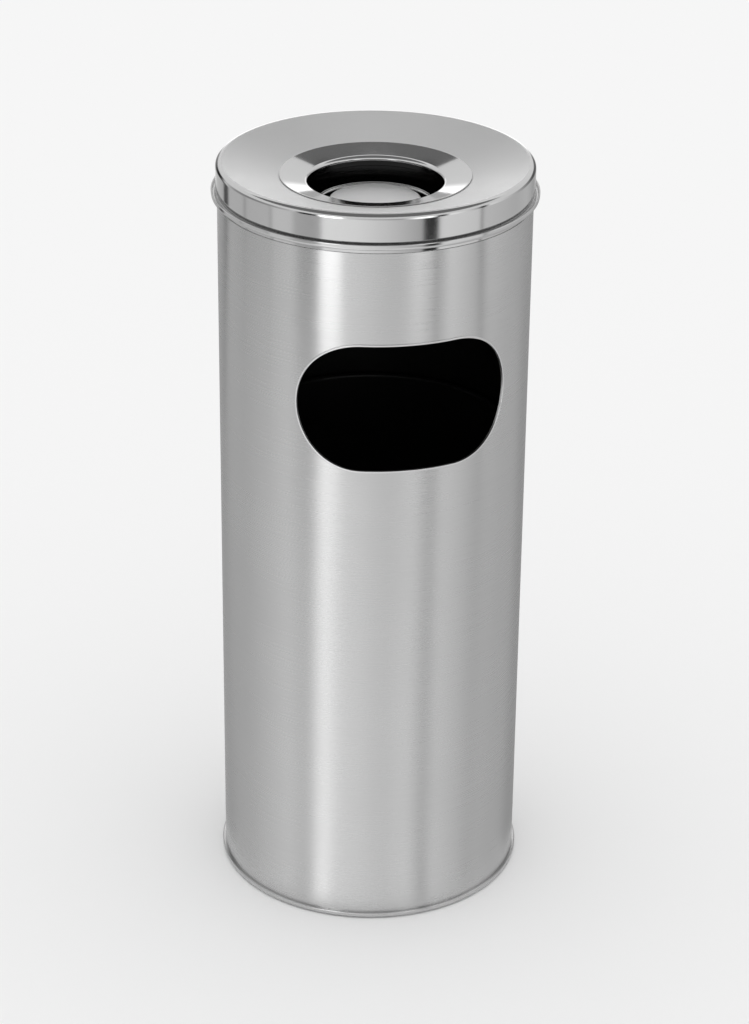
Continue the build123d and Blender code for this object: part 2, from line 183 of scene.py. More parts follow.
def stainless(name, colour, roughness, spread, grain, grain_depth, grain_tone, anisotropy, smudge):
    """Stainless steel. grain is the size in mm of one mark along x, y and z, grain_depth
    its depth and grain_tone how much it lightens or darkens; spread is how much roughness
    varies, and smudge how much is added to it where the steel was handled."""
    material, tree = new_material(name)
    place = add(tree, "ShaderNodeTexCoord").outputs["Object"]
    stretched = add(tree, "ShaderNodeMapping", Vector=place, Scale=tuple(1000.0 / g for g in grain))
    marks = add(tree, "ShaderNodeTexNoise", Vector=stretched, Scale=1.0, Detail=3.0, Roughness=0.6)
    coarse = add(tree, "ShaderNodeMapping", Vector=place, Scale=tuple(1000.0 / (BANDS * g) for g in grain))
    bands = add(tree, "ShaderNodeTexNoise", Vector=coarse, Scale=1.0, Detail=2.0)
    both = mix(tree, 0.4, marks.outputs["Fac"], bands.outputs["Fac"])
    handled = add(tree, "ShaderNodeTexNoise", Vector=place, Scale=14.0, Detail=4.0, Roughness=0.55)
    worn = add(tree, "ShaderNodeMapRange", Value=handled.outputs["Fac"], From_Min=0.35, From_Max=0.7,
               To_Min=0.0, To_Max=smudge)
    rough = calc(tree, "ADD", vary(tree, both, roughness, spread), worn)
    tone = vary(tree, both, 1.0, grain_tone)
    base = add(tree, "ShaderNodeVectorMath", {"operation": "SCALE"}, i0=linear(colour)[:3], Scale=tone)
    bump = add(tree, "ShaderNodeBump", Strength=1.0, Distance=grain_depth * MM, Height=both)
    shader = add(tree, "ShaderNodeBsdfPrincipled", Base_Color=base, Metallic=1.0, Roughness=rough,
                 Normal=bump)
    if anisotropy:
        shader.inputs["Anisotropic"].default_value = anisotropy
        shader.inputs["Anisotropic Rotation"].default_value = 0.25
        round_axis = add(tree, "ShaderNodeTangent", {"direction_type": "RADIAL", "axis": "Z"})
        tree.links.new(round_axis.outputs[0], shader.inputs["Tangent"])
    add(tree, "ShaderNodeOutputMaterial", Surface=shader)
    return material


def dull(name, colour, roughness, specular, pit, depth, spread, tone=0.12):
    """Paint, rubber or plastic. pit and depth are the size and depth in mm of its grain,
    and spread and tone how much roughness and brightness vary with the dust on it."""
    material, tree = new_material(name)
    place = add(tree, "ShaderNodeTexCoord").outputs["Object"]
    grain = add(tree, "ShaderNodeTexNoise", Vector=place, Scale=1000.0 / pit, Detail=2.0, Roughness=0.5)
    dust = add(tree, "ShaderNodeTexNoise", Vector=place, Scale=22.0, Detail=5.0, Roughness=0.6)
    shade = vary(tree, dust.outputs["Fac"], 1.0, tone)
    base = add(tree, "ShaderNodeVectorMath", {"operation": "SCALE"}, i0=linear(colour)[:3], Scale=shade)
    rough = vary(tree, dust.outputs["Fac"], roughness, spread)
    bump = add(tree, "ShaderNodeBump", Strength=1.0, Distance=depth * MM, Height=grain.outputs["Fac"])
    shader = add(tree, "ShaderNodeBsdfPrincipled", Base_Color=base, Roughness=rough, Normal=bump)
    shader.inputs["Specular IOR Level"].default_value = specular
    add(tree, "ShaderNodeOutputMaterial", Surface=shader)
    return material


# ---- finishes ----
# Rolled sheet, brushed round the body with a belt: streaks run round, reflections are
# drawn out up and down. Real grit lines are 0.1 mm apart; they are drawn 0.7 mm apart,
# because finer ones don't show.
brushed_steel = stainless("stainless_steel_belt_brushed", "CACACA", 0.27, 0.04, (38.0, 38.0, 0.7),
                          0.012, 0.035, 0.95, 0.04)
# Deep drawn and buffed lid: near mirror, with a faint orange peel that softens edges.
polished_steel = stainless("stainless_steel_buffed", "CCCCCC", 0.10, 0.015, (5.0, 5.0, 5.0),
                           0.004, 0.01, 0.0, 0.03)
# Spun and polished on the lathe: close to a mirror.
spun_steel = stainless("stainless_steel_spun_polished", "CBCBCB", 0.06, 0.015, (3.0, 3.0, 3.0),
                       0.002, 0.01, 0.0, 0.02)
# Dish of the lid: satin ground, so that it blurs the room to an even grey.
ground_steel = stainless("stainless_steel_satin_ground", "D2D2D2", 0.38, 0.04, (3.0, 3.0, 3.0),
                         0.006, 0.015, 0.0, 0.03)
# Folded edging, tumbled bright: a soft bright line round the mouth.
bright_steel = stainless("stainless_steel_tumbled", "D8D8D8", 0.30, 0.04, (3.0, 3.0, 3.0),
                         0.004, 0.01, 0.0, 0.03)
# Pressed plate, rubbed with a pad: soft sheen with small marks all one way, in a colour paler than steel that
# paints light on the disc in the bowl.
pale_satin_painted_light = stainless("stainless_steel_satin_pressed", "F0F0F0", 0.46, 0.03, (6.0, 1.2, 1.2),
                        0.002, 0.012, 0.0, 0.03)
# Zinc plated fasteners: grey metal with cloudy passivation.
zinc_steel = stainless("steel_zinc_plated", "B4B8BB", 0.34, 0.08, (2.0, 2.0, 2.0),
                       0.01, 0.08, 0.0, 0.08)
# Near black paint inside the body and on the liner: painted shade, so that the mouth reads as a dark hole.
painted_shade_black = dull("black_lacquer_sprayed", "0B0B0B", 0.42, 0.35, 0.9, 0.01, 0.06)
# Glossy black of the ash pan, and inside the ring's hole and under its flange: painted shade, so that the
# hole reads dark. It has a slow waviness.
painted_shade_black_gloss = dull("black_enamel_fired", "040404", 0.15, 0.4, 6.0, 0.02, 0.04)
# Nitrile rubber: matt, dusty, with moulded grain.
black_rubber = dull("black_rubber_moulded", "1B1B1B", 0.72, 0.3, 0.5, 0.03, 0.08, 0.25)
# Polyamide grip: fine sparked grain from the mould.
black_plastic = dull("black_polyamide_moulded", "202022", 0.5, 0.45, 0.4, 0.02, 0.05)


# ---- mesh building ----
def bend_path(points):
    """Points of a path with its corners rounded: each is (r, z) or (r, z, radius)."""
    out = []
    for i, point in enumerate(points):
        here = Vector(point[:2])
        if len(point) < 3 or not point[2] or i in (0, len(points) - 1):
            out.append(here)
            continue
        back = (Vector(points[i - 1][:2]) - here).normalized()
        on = (Vector(points[i + 1][:2]) - here).normalized()
        half = back.angle(on) / 2
        reach = point[2] / tan(half)
        centre = here + (back + on).normalized() * (point[2] / sin(half))
        start, end = here + back * reach - centre, here + on * reach - centre
        turn = start.angle(end)
        steps = max(3, ceil(degrees(turn) / 11.0))
        sign = 1 if start.x * end.y - start.y * end.x > 0 else -1
        for s in range(steps + 1):
            a = sign * turn * s / steps
            out.append(centre + Vector((start.x * cos(a) - start.y * sin(a),
                                        start.x * sin(a) + start.y * cos(a))))
    return out


def bend_loop(points):
    """The same for a closed outline."""
    n = len(points)
    out = []
    for i in range(n):
        out += bend_path([points[i - 1], points[i], points[(i + 1) % n]])[1:-1]
    return out


def arc(centre, radius, from_angle, to_angle, every=9.0):
    """Points along an arc, angles in degrees."""
    steps = max(2, ceil(abs(to_angle - from_angle) / every))
    turns = [radians(from_angle + (to_angle - from_angle) * i / steps) for i in range(steps + 1)]
    return [Vector((centre[0] + radius * cos(a), centre[1] + radius * sin(a))) for a in turns]


def tidy_path(path):
    """The path without the points that nearly coincide."""
    out = [path[0]]
    for p in path[1:]:
        if (p - out[-1]).length > 0.004:
            out.append(p)
    return out


def sheet_outline(path, sheet):
    """Closed outline of sheet metal on the left of a path, with eased edges.
    A path that starts or ends on the axis is left open there."""
    path = tidy_path(path)
    other = []
    for i, p in enumerate(path):
        before = (p - path[i - 1]).normalized() if i else None
        after = (path[i + 1] - p).normalized() if i < len(path) - 1 else None
        way = (before or after) + (after or before)
        left = Vector((-way.y, way.x)).normalized()
        straight = after or before
        stretch = max(0.5, left.dot(Vector((-straight.y, straight.x))))
        if p.x < ON_AXIS:
            left = Vector((0.0, 1.0 if left.y > 0 else -1.0))
            stretch = 1.0
        other.append(p + left * sheet / stretch)

    def ease(a, b, on):
        """Rounded edge between face points a and b; on points off the sheet."""
        nose = min(0.45 * sheet, 0.4)
        across = (b - a).normalized()
        turns = (0, 0.5, 1.05, pi / 2)
        return ([a + across * nose * (1 - cos(t)) + on * nose * (sin(t) - 1) for t in turns]
                + [b - across * nose * (1 - cos(t)) + on * nose * (sin(t) - 1) for t in reversed(turns)])

    outline = list(path)
    if path[-1].x > ON_AXIS:
        outline = outline[:-1] + ease(path[-1], other[-1], (path[-1] - path[-2]).normalized())
        outline += other[-2::-1]
    else:
        outline += other[::-1]
    if path[0].x > ON_AXIS:
        outline = outline[1:-1] + ease(other[0], path[0], (path[0] - path[1]).normalized())
    return outline


def finish_mesh(name, mesh, material, sharp=32.0):
    """Object for a finished mesh, smooth but for its sharp edges."""
    for face in mesh.polygons:
        face.use_smooth = True
    mesh.set_sharp_from_angle(angle=radians(sharp))
    if material and not mesh.materials:
        mesh.materials.append(material)
    mesh.name = name
    return placed(name, mesh)


def build_mesh(name, points, faces):
    """Mesh in metres from points in millimetres, closed and facing outwards."""
    mesh = bpy.data.meshes.new(name)
    mesh.from_pydata([tuple(c * MM for c in p) for p in points], [], faces)
    work = bmesh.new()
    work.from_mesh(mesh)
    bmesh.ops.remove_doubles(work, verts=work.verts, dist=WELD)
    bmesh.ops.recalc_face_normals(work, faces=work.faces)
    work.to_mesh(mesh)
    work.free()
    return mesh


def strips(rows, closed=False):
    """Faces between rows of point numbers that run round; a row of one number is a tip."""
    faces = []
    for one, two in zip(rows, rows[1:] + rows[:1] if closed else rows[1:]):
        for i in range(len(one)):
            j = (i + 1) % len(one)
            face = list(dict.fromkeys((one[i], one[j], two[j], two[i])))
            if len(face) > 2:
                faces.append(face)
    return faces


def held(outline, closed):
    """The outline with a point close to each end of its long runs, which keeps the flats flat."""
    out = []
    for i, p in enumerate(outline):
        out.append(p)
        if i == len(outline) - 1 and not closed:
            break
        on = outline[(i + 1) % len(outline)] - p
        if on.length > 1.6:
            near = min(0.25, 0.1 * on.length) / on.length
            out += [p + on * near, p + on * (1 - near)]
    return out


def turned_mesh(name, outline, steps=ROUND_STEPS, centre=(0.0, 0.0)):
    """Closed outline of (radius, height) turned about an upright axis."""
    closed = all(p.x > ON_AXIS for p in outline)
    points, rows = [], []
    for p in held(outline, closed):
        if p.x <= ON_AXIS:
            rows.append([len(points)] * steps)
            points.append((centre[0], centre[1], p.y))
        else:
            rows.append(range(len(points), len(points) + steps))
            points += [(centre[0] + p.x * cos(2 * pi * i / steps), centre[1] + p.x * sin(2 * pi * i / steps),
                        p.y) for i in range(steps)]
    return build_mesh(name, points, strips(rows, closed))


def turned(name, outline, material, **more):
    return finish_mesh(name, turned_mesh(name, outline, **more), material)


def second_finish(made, material, chosen):
    """Gives the faces for which chosen(middle, normal) holds, in millimetres, another finish."""
    made.data.materials.append(material)
    for face in made.data.polygons:
        if chosen(face.center / MM, face.normal):
            face.material_index = len(made.data.materials) - 1
    return made


def hand_over(piece, body, node):
    """Hangs a piece on the body it rides on, and hides the imported part it stands in for."""
    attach(piece, body)
    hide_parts(node)


def applied(made, name, material=None, sharp=32.0):
    """Plain mesh object from one with modifiers, which is removed."""
    bpy.context.view_layer.update()
    graph = bpy.context.evaluated_depsgraph_get()
    mesh = bpy.data.meshes.new_from_object(made.evaluated_get(graph), depsgraph=graph)
    bpy.data.objects.remove(made)
    return finish_mesh(name, mesh, material, sharp)


# ---- geometry node trees ----
def new_tree(name, **inputs):
    """Tree with an input of the kind given for each name, and the sockets they come from."""
    tree = bpy.data.node_groups.new(name, "GeometryNodeTree")
    for label, kind in inputs.items():
        tree.interface.new_socket(label.replace("_", " "), in_out="INPUT", socket_type="NodeSocket" + kind)
    tree.interface.new_socket("Geometry", in_out="OUTPUT", socket_type="NodeSocketGeometry")
    return tree, tree.nodes.new("NodeGroupInput").outputs


def from_tree(tree, name, **values):
    """Plain mesh object from a tree; values are its inputs by name."""
    holder = placed(name, bpy.data.meshes.new(name))
    modifier = holder.modifiers.new("made", "NODES")
    modifier.node_group = tree
    for item in tree.interface.items_tree:
        if item.in_out == "INPUT":
            modifier[item.identifier] = values[item.name.replace(" ", "_")]
    return applied(holder, name)


# Copies of a piece turned about the bin's axis, for feet, screws, washers, nuts, rivets.
tree, given = new_tree("copies_round_axis", Piece="Object", Count="Int", First_angle="Float", Step="Float",
                       Finish="Material")
spots = add(tree, "GeometryNodeMeshLine", Count=given["Count"], Offset=(0.0, 0.0, 0.0))
number = add(tree, "GeometryNodeInputIndex")
angle = calc(tree, "MULTIPLY_ADD", number, given["Step"], given["First angle"])
turn = add(tree, "ShaderNodeCombineXYZ", Z=angle)
piece = add(tree, "GeometryNodeObjectInfo", Object=given["Piece"])
copies = add(tree, "GeometryNodeInstanceOnPoints", Points=spots, Instance=piece.outputs["Geometry"],
             Rotation=turn)
copies = add(tree, "GeometryNodeRealizeInstances", Geometry=copies)
copies = add(tree, "GeometryNodeSetMaterial", Geometry=copies, Material=given["Finish"])
add(tree, "NodeGroupOutput", Geometry=copies)
copies_tree = tree

# Edging round the mouth: a folded section swept along the slot in the flat, then the
# flat is rolled to the body's radius.
tree, given = new_tree("edging_round_mouth", Section="Object", Width="Float", Height="Float",
                       Flat_radius="Float", Face_radius="Float", Middle_height="Float", Finish="Material")
ALMOST_HALF = 0.49999       # rounds the slot's ends without letting two corners meet
slot_shape = add(tree, "GeometryNodeCurvePrimitiveQuadrilateral", Width=given["Width"],
                 Height=given["Height"])
end_round = calc(tree, "MULTIPLY", given["Height"], ALMOST_HALF)
slot_shape = add(tree, "GeometryNodeFilletCurve", {"mode": "POLY"}, Curve=slot_shape, Radius=end_round,
                 Count=32)
slot_shape = add(tree, "GeometryNodeResampleCurve", Curve=slot_shape, Count=320)
slot_shape = add(tree, "GeometryNodeSetCurveNormal", {"mode": "Z_UP"}, Curve=slot_shape)
piece = add(tree, "GeometryNodeObjectInfo", Object=given["Section"])
folded = add(tree, "GeometryNodeCurveToMesh", Curve=slot_shape, Profile_Curve=piece.outputs["Geometry"])
flat = add(tree, "ShaderNodeSeparateXYZ", Vector=add(tree, "GeometryNodeInputPosition"))
roll = calc(tree, "DIVIDE", flat.outputs["X"], given["Flat radius"])
reach = calc(tree, "ADD", flat.outputs["Z"], given["Face radius"])
aside = calc(tree, "MULTIPLY", calc(tree, "SINE", roll), reach)
ahead = calc(tree, "MULTIPLY", calc(tree, "COSINE", roll), reach)
ahead = calc(tree, "MULTIPLY", ahead, -1.0)
up = calc(tree, "ADD", flat.outputs["Y"], given["Middle height"])
rolled = add(tree, "ShaderNodeCombineXYZ", X=aside, Y=ahead, Z=up)
folded = add(tree, "GeometryNodeSetPosition", Geometry=folded, Position=rolled)
folded = add(tree, "GeometryNodeRealizeInstances", Geometry=folded)
folded = add(tree, "GeometryNodeSetMaterial", Geometry=folded, Material=given["Finish"])
add(tree, "NodeGroupOutput", Geometry=folded)
edging_tree = tree


def copies_of(name, piece, finish, count=4, first=45.0, step=90.0):
    """Copies of a piece, which is removed; angles in degrees."""
    made = from_tree(copies_tree, name, Piece=piece, Count=count, First_angle=radians(first),
                     Step=radians(step), Finish=finish)
    bpy.data.objects.remove(piece)
    return made


# ---- bin body ----
SHEET = 1.0
EDGING_SHEET = 0.6
mouth_height = mouth_high - mouth_low
mouth_middle = (mouth_high + mouth_low) / 2
mouth_width = 178.0
mouth_straight = (mouth_width - mouth_height) / 2
mid_radius = shell_radius - SHEET / 2


def slot_point(along, up, end_radius):
    """Nearest point of the slot's cut edge, in the flat, seen from a point round it."""
    if abs(along) <= mouth_straight:
        return Vector((along, end_radius if up > 0 else -end_radius))
    middle = Vector((mouth_straight if along > 0 else -mouth_straight, 0.0))
    return middle + (Vector((along, up)) - middle).normalized() * end_radius


def shell_sheet():
    """Rolled sheet with the mouth punched in it, and the bead of its weld at the back.
    A block of the grid round the mouth is left out, and rings from the block's border
    to the mouth's edge fill it."""
    every, half_block, margin, bead = 1.5, 48.0, 14.0, 0.12
    rows_below, rows_beside, rows_above = 12, 33, 5
    angles = sorted([every * i - 180.0 for i in range(240)] + [-179.5, 179.5])
    block_low, block_high = mouth_low - margin, mouth_high + margin
    heights = [shell_low + (block_low - shell_low) * i / rows_below for i in range(rows_below)]
    heights += [block_low + (block_high - block_low) * i / rows_beside for i in range(rows_beside)]
    heights += [block_high + (shell_top - block_high) * i / rows_above for i in range(rows_above + 1)]
    left, right = angles.index(-half_block), angles.index(half_block)
    bottom, top = rows_below, rows_below + rows_beside
    points, faces, at = [], [], {}

    def put(angle, z):
        radius = shell_radius + (bead if angle == -180.0 else 0.0)
        points.append((radius * sin(radians(angle)), -radius * cos(radians(angle)), z))
        return len(points) - 1

    for j, z in enumerate(heights):
        for i, a in enumerate(angles):
            if not (left < i < right and bottom < j < top):
                at[i, j] = put(a, z)
    for j in range(len(heights) - 1):
        for i in range(len(angles)):
            if not (left <= i < right and bottom <= j < top):
                k = (i + 1) % len(angles)
                faces.append((at[i, j], at[k, j], at[k, j + 1], at[i, j + 1]))
    border = [(i, bottom) for i in range(left, right)] + [(right, j) for j in range(bottom, top)]
    border += [(i, top) for i in range(right, left, -1)] + [(left, j) for j in range(top, bottom, -1)]
    rings = [[at[b] for b in border]]
    for share in (0.3, 0.55, 0.75, 0.9, 1.0):
        ring = []
        for i, j in border:
            here = Vector((radians(angles[i]) * mid_radius, heights[j] - mouth_middle))
            there = slot_point(here.x, here.y, mouth_height / 2 + EDGING_SHEET)
            flat_point = here.lerp(there, share)
            ring.append(put(degrees(flat_point.x / mid_radius), mouth_middle + flat_point.y))
        rings.append(ring)
    mesh = build_mesh("shell", points, faces + strips(rings))
    mesh.materials.append(brushed_steel)
    mesh.materials.append(painted_shade_black)
    made = placed("shell", mesh)
    wall = made.modifiers.new("sheet", "SOLIDIFY")
    wall.thickness = SHEET * MM
    wall.offset = -1.0
    # The inner face takes the near black paint: painted shade inside the mouth.
    wall.material_offset = 1
    return applied(made, "body_shell_rolled")


hand_over(shell_sheet(), "bin_body", "body_shell")

# Folded edging: throat through the sheet, a lip on each face, all edges eased. The
# sweep takes its section in a mirror, so it is drawn with its heights turned over.
lip_out, lip_in = EDGING_SHEET + 1.0, EDGING_LIP
section = bend_loop([(0.0, EDGING_SHEET, 0.3), (lip_out, EDGING_SHEET, 0.55), (lip_out, 0.0),
                     (EDGING_SHEET, 0.0), (EDGING_SHEET, -SHEET), (lip_in, -SHEET, 0.12),
                     (lip_in, -SHEET - EDGING_SHEET, 0.2), (0.0, -SHEET - EDGING_SHEET, 0.25)])
profile = bpy.data.curves.new("edging_section", "CURVE")
profile.dimensions = "2D"
line = profile.splines.new("POLY")
line.points.add(len(section) - 1)
for spot, p in zip(line.points, reversed(section)):
    spot.co = (p.x * MM, -p.y * MM, 0.0, 1.0)
line.use_cyclic_u = True
profile_holder = placed("edging_section", profile)
edging = from_tree(edging_tree, "mouth_edging", Section=profile_holder, Width=mouth_width * MM,
                   Height=mouth_height * MM, Flat_radius=mid_radius * MM, Face_radius=shell_radius * MM,
                   Middle_height=mouth_middle * MM, Finish=bright_steel)
bpy.data.objects.remove(profile_holder)
hand_over(edging, "bin_body", "aperture_edging")

spigot = shell_radius - SHEET - 0.05
collar = bend_loop([(spigot - SHEET, collar_low, 0.3), (spigot, collar_low, 0.3), (spigot, shell_top, 0.2),
                    (neck_radius, shell_top, 0.3), (neck_radius, neck_top, 0.3),
                    (neck_radius - SHEET, neck_top, 0.3), (neck_radius - SHEET, shell_top + SHEET, 0.4),
                    (spigot - SHEET, shell_top + SHEET, 0.6)])
hand_over(turned("top_collar_turned", collar, spun_steel), "bin_body", "top_collar")

leg = neck_radius - SHEET
seal_inner = leg - 1.5
seal = bend_loop([(seal_inner, seal_low, 0.5), (leg, seal_low), (leg, neck_top), (neck_radius, neck_top, 0.1),
                  (neck_radius, seal_top, 0.5), (seal_inner, seal_top, 0.7)])
hand_over(turned("rim_seal_moulded", seal, black_rubber), "bin_body", "rim_seal")


def seamed_floor(inner, hook, rim, sheet, bottom, floor, seam_top):
    """Outline of a round plate whose flange is folded round the lower edge of a wall."""
    fold = 0.45 * (rim - hook)
    return bend_path([(0.0, floor), (inner, floor, sheet), (inner, bottom + sheet),
                      (hook, bottom + sheet), (hook, seam_top), (rim, seam_top, fold),
                      (rim, bottom, fold), (inner - sheet, bottom, 0.4),
                      (inner - sheet, floor - sheet, 0.4), (0.0, floor - sheet)])


def bored(made, tool, name, material):
    """The first object with the second one cut out of it."""
    cut = made.modifiers.new("bore", "BOOLEAN")
    cut.object = tool
    cut.solver = "EXACT"
    out = applied(made, name, material)
    bpy.data.objects.remove(tool)
    return out


SCREW = 2.5
SCREW_HOLE = SCREW + 0.1
on_foot = {"centre": (foot_circle, 0.0)}
base = turned("base", seamed_floor(spigot, shell_radius + 0.05, seam_radius, SHEET, seam_low, base_top, 5.2),
              brushed_steel)


def drill_bit(radius, middle, **more):
    """Solid of revolution that bores a hole; middle is its height."""
    path = bend_path([(0.0, middle[0]), (radius, middle[0]), (radius, middle[1]), (0.0, middle[1])])
    return turned("drill", path, None, steps=32, **more)


drill = drill_bit(SCREW_HOLE, (base_top - 3, base_top + 3), **on_foot)
drills = copies_of("drills", drill, brushed_steel)
hand_over(bored(base, drills, "base_plate_seamed", bright_steel), "bin_body", "base_pan")

recess, groove = 5.6, FOOT_RADIUS - 0.4
foot = turned("foot", bend_loop([(SCREW_HOLE, 4.2, 0.2), (recess, 4.2, 0.4), (recess, 0.0, 0.4),
                                 (FOOT_RADIUS, 0.0, 1.0), (FOOT_RADIUS, 3.2, 0.3), (groove, 3.6, 0.3),
                                 (groove, 4.4, 0.3), (FOOT_RADIUS, 4.8, 0.3), (FOOT_RADIUS, 9.0, 0.3),
                                 (SCREW_HOLE, 9.0)]), None, steps=64, **on_foot)
hand_over(copies_of("rubber_feet_moulded", foot, black_rubber), "bin_body", "rubber_feet")


def threaded(radius, start, tip, pitch=0.8, depth=0.28):
    """Outline points up a screw's shank, with its thread drawn as rings."""
    out, z = [], start
    while z + pitch < tip - 0.4:
        out += [(radius, z + 0.1 * pitch), (radius, z + 0.3 * pitch), (radius - depth, z + 0.65 * pitch),
                (radius - depth, z + 0.8 * pitch)]
        z += pitch
    return out + [(radius, z + 0.1 * pitch), (radius - 0.1, tip - 0.45), (radius - 0.5, tip), (0.0, tip)]


head = turned("head", bend_path([(0.0, 1.2), (4.75, 1.2, 1.5), (4.75, 4.2, 0.15), (SCREW, 4.2), (SCREW, 11.0)]
                                + threaded(SCREW, 11.0, 16.0)), None, steps=48, **on_foot)
slot_tool = placed("slot", build_mesh("slot", [
    (foot_circle + x, y, z) for x in (-0.6, 0.6) for y in (-6, 6) for z in (0.0, 2.4)],
    [(0, 1, 3, 2), (4, 6, 7, 5), (0, 4, 5, 1), (2, 3, 7, 6), (0, 2, 6, 4), (1, 5, 7, 3)]))
head = bored(head, slot_tool, "screw", zinc_steel)
hand_over(copies_of("foot_screws_slotted", head, zinc_steel), "bin_body", "foot_screws")
washer = turned("washer", bend_loop([(SCREW_HOLE, 10.0, 0.1), (5.0, 10.0, 0.25), (5.0, 11.0, 0.25),
                                     (SCREW_HOLE, 11.0, 0.15)]), None, steps=48, **on_foot)
hand_over(copies_of("foot_washers_punched", washer, zinc_steel), "bin_body",
          "foot_washers")


def hexagon(flats, bore, bottom, top, centre):
    """Nut or hexagon head with its corners turned off: a ring whose wide points are
    drawn out to the hexagon. centre is its place along x."""
    steps, reach, chamfer = 72, flats / 2, 0.45
    face_radius = reach * 0.94
    outline = [(bore, bottom, 0), (face_radius, bottom, 0), (reach, bottom + chamfer, 1),
               (reach, top - chamfer, 1), (face_radius, top, 0), (bore, top, 0)]
    points, rows = [], []
    for r, z, drawn in outline:
        if r <= 0:
            rows.append([len(points)] * steps)
            points.append((centre, 0.0, z))
            continue
        rows.append(range(len(points), len(points) + steps))
        for i in range(steps):
            a = 2 * pi * i / steps
            out = r / cos((a + pi / 6) % (pi / 3) - pi / 6) if drawn else r
            points.append((centre + out * cos(a), out * sin(a), z))
    return build_mesh("hexagon", points, strips(rows, bore > 0))


nut = finish_mesh("nut", hexagon(8.0, SCREW, 11.0, 15.0, foot_circle), None, 20)
hand_over(copies_of("foot_nuts_hexagon", nut, zinc_steel), "bin_body", "foot_nuts")

# ---- liner and its bail ----
LINER_SHEET = 0.8
ROLL = 2.3
liner_inner = liner_radius - LINER_SHEET
roll_centre = (liner_inner + ROLL, liner_rim - ROLL)
wall_path = arc(roll_centre, ROLL, -85, 180) + [Vector((liner_inner, 200.0)),
                                               Vector((liner_inner, liner_low + LINER_SHEET))]
# The liner is near black: painted shade inside the bin, seen through the mouth.
hand_over(turned("liner_wall_rolled", sheet_outline(wall_path, LINER_SHEET), painted_shade_black), "liner",
          "liner_wall")
floor_line = seamed_floor(liner_inner - 0.05, liner_radius + 0.05, liner_radius + LINER_SEAM, LINER_SHEET,
                          liner_low, liner_floor_top, liner_low + 5.0)
hand_over(turned("liner_floor_seamed", floor_line, painted_shade_black), "liner", "liner_floor")


def eased_copy(node, name, material):
    """A CAD node's shape with its sharp edges eased."""
    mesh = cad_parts[node].data.copy()
    work = bmesh.new()
    work.from_mesh(mesh)
    bmesh.ops.remove_doubles(work, verts=work.verts, dist=WELD)
    bmesh.ops.dissolve_limit(work, angle_limit=radians(1.0), verts=work.verts, edges=work.edges)
    work.to_mesh(mesh)
    work.free()
    mesh.materials.clear()
    made = placed(name, mesh)
    bevel = made.modifiers.new("eased", "BEVEL")
    bevel.width = 0.25 * MM
    bevel.segments = 2
    bevel.limit_method = "ANGLE"
    bevel.angle_limit = radians(40)
    return applied(made, name, material, 40)


hand_over(eased_copy("liner_ears", "bail_ears_pressed", zinc_steel), "liner",
          "liner_ears")

# Rivets, upset on both sides: heights run from the inner head's crown.
RIVET, RIVET_HEAD, CROWN = 1.6, 3.2, 1.2
rivet_inner, rivet_outer = liner_inner - 0.05, liner_radius + 1.2
grip_end = CROWN + rivet_outer - rivet_inner
rivet_line = bend_path([(0.0, 0.0), (1.9, 0.12), (3.0, 0.7), (RIVET_HEAD, CROWN, 0.1), (RIVET, CROWN),
                        (RIVET, grip_end), (RIVET_HEAD, grip_end, 0.1), (3.0, grip_end + 0.5),
                        (1.9, grip_end + 1.08), (0.0, grip_end + CROWN)])
for way, angle in (("left", -7.1), ("right", 7.1)):
    mesh = turned_mesh("rivet", rivet_line, steps=32)
    mesh.transform(Matrix.Translation(((rivet_inner - CROWN) * MM, 0.0, pivot_z * MM))
                   @ Matrix.Rotation(pi / 2, 4, "Y"))
    rivet = finish_mesh("rivet", mesh, None)
    rivets = copies_of("ear_rivets_" + way, rivet, zinc_steel, 2, angle, 180.0)
    hand_over(rivets, "liner", "ear_rivets")

BAIL_WIRE = 2.25
BAIL_BEND = 3.5
GRIP = 4.2
bail_arc = high("bail_wire").x - BAIL_WIRE
bail_tilt = acos((liner_radius + GRIP + 0.3) / bail_arc)
bail_place = Matrix.Translation((0, 0, pivot_z * MM)) @ Matrix.Rotation(-bail_tilt, 4, "X")


def bail_wire_mesh():
    """Wire bent in its own plane, with a flattened head on each end."""
    bend_x = sqrt((bail_arc - BAIL_BEND) ** 2 - BAIL_BEND ** 2)
    bend_end = degrees(asin(BAIL_BEND / (bail_arc - BAIL_BEND)))
    head_from, head_to = liner_radius + 2.6 / 3, liner_radius + 2.3
    right = [Vector((head_from, 0.0)), Vector((head_to, 0.0)), Vector(((head_to + bend_x) / 2, 0.0))]
    right += arc((bend_x, BAIL_BEND), BAIL_BEND, -90, bend_end)
    right += arc((0.0, 0.0), bail_arc, bend_end, 90, 2.0)[1:]
    path = right + [Vector((-p.x, p.y)) for p in right[-2::-1]]
    big, steps = BAIL_WIRE + 1.2, 20
    stations = []
    for i, p in enumerate(path):
        way = (path[min(i + 1, len(path) - 1)] - path[max(i - 1, 0)]).normalized()
        stations.append((p, Vector((-way.y, way.x)), BAIL_WIRE))
    first, last = stations[0], stations[-1]
    inward = (path[1] - path[0]).normalized()
    tail = (path[-2] - path[-1]).normalized()
    length = head_to - head_from
    head = ((0, big - 0.3), (0.15, big), (length - 0.15, big), (length, big - 0.2), (length, BAIL_WIRE))
    front = [(first[0] + inward * d, first[1], r) for d, r in head]
    back = [(last[0] + tail * d, last[1], r) for d, r in reversed(head)]
    points, rows = [], []
    for p, side, r in front + stations[2:-2] + back:
        rows.append(range(len(points), len(points) + steps))
        for s in range(steps):
            a = 2 * pi * s / steps
            points.append((p.x + side.x * r * cos(a), p.y + side.y * r * cos(a), r * sin(a)))
    faces = strips(rows) + [rows[0], rows[-1]]
    mesh = build_mesh("bail", points, faces)
    mesh.transform(bail_place)
    return mesh


hand_over(finish_mesh("bail_wire_bent", bail_wire_mesh(), zinc_steel), "bail",
          "bail_wire")


